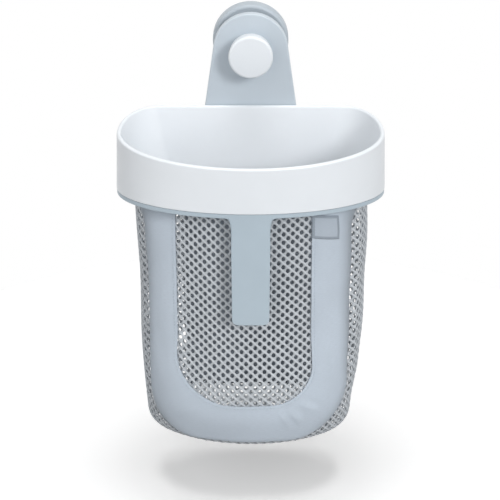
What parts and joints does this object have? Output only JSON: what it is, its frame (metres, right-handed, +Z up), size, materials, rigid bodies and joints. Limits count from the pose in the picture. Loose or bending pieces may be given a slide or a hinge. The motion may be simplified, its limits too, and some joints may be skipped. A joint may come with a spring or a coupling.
{
  "type": "bath toy organizer",
  "caption": "Wall-hung bath toy scoop: D-shaped plastic rim with a sewn mesh drain bag, on a hanger plate held by a twist-knob suction mount.",
  "frame": {"origin": "on the wall, on the axis of the knob and stud", "axes": "+Z up, +Y into the wall, -Y out towards the user, +X to the user's right"},
  "size_m": [0.2316, 0.1748, 0.3667],
  "materials": {
    "soft_cup": "soft grey vinyl",
    "grey_plastic": "satin moulded, cool light grey",
    "white_plastic": "satin moulded, white",
    "steel": "zinc plated",
    "brass": "turned",
    "nylon": "natural nylon",
    "fabric": "plain woven polyester, light grey",
    "netting": "knitted polyester net, pale grey"
  },
  "bodies": {
    "wall_mount": {"suction_cup": "soft_cup", "mount_housing": "grey_plastic"},
    "stud": {"suction_stud": "steel"},
    "knob": {"thrust_washer": "nylon", "knob_body": "white_plastic", "knob_nut": "brass", "knob_cap": "white_plastic"},
    "scoop": {"hanger_plate": "grey_plastic", "plate_screw_1": "steel", "plate_screw_2": "steel", "plate_screw_3": "steel", "plate_screw_4": "steel", "rim_collar": "white_plastic", "bag_ring": "grey_plastic", "bag_hem": "fabric", "bag_front_panel": "fabric", "bag_front_mesh": "netting", "bag_side_mesh_left": "netting", "bag_side_mesh_right": "netting", "bag_back_panel": "fabric", "bag_bottom_mesh": "netting", "sewn_patch": "fabric"}
  },
  "joints": [
    {"name": "knob_turn", "type": "hinge", "parent": "wall_mount", "child": "knob", "pos_m": [0, -0.042, 0], "axis": [0, -1, 0], "range_deg": [0, 270]},
    {"name": "stud_draw", "type": "slide", "parent": "wall_mount", "child": "stud", "axis": [0, 1, 0], "range_m": [0, 0.003], "deforming": ["suction_cup"]},
    {"name": "scoop_swing", "type": "hinge", "parent": "wall_mount", "child": "scoop", "pos_m": [0, -0.03, 0], "axis": [0, -1, 0], "continuous": true}
  ],
  "couplings": [
    {"joint": "knob_turn", "follows": "stud_draw", "rad_per_m": 1570.8}
  ]
}
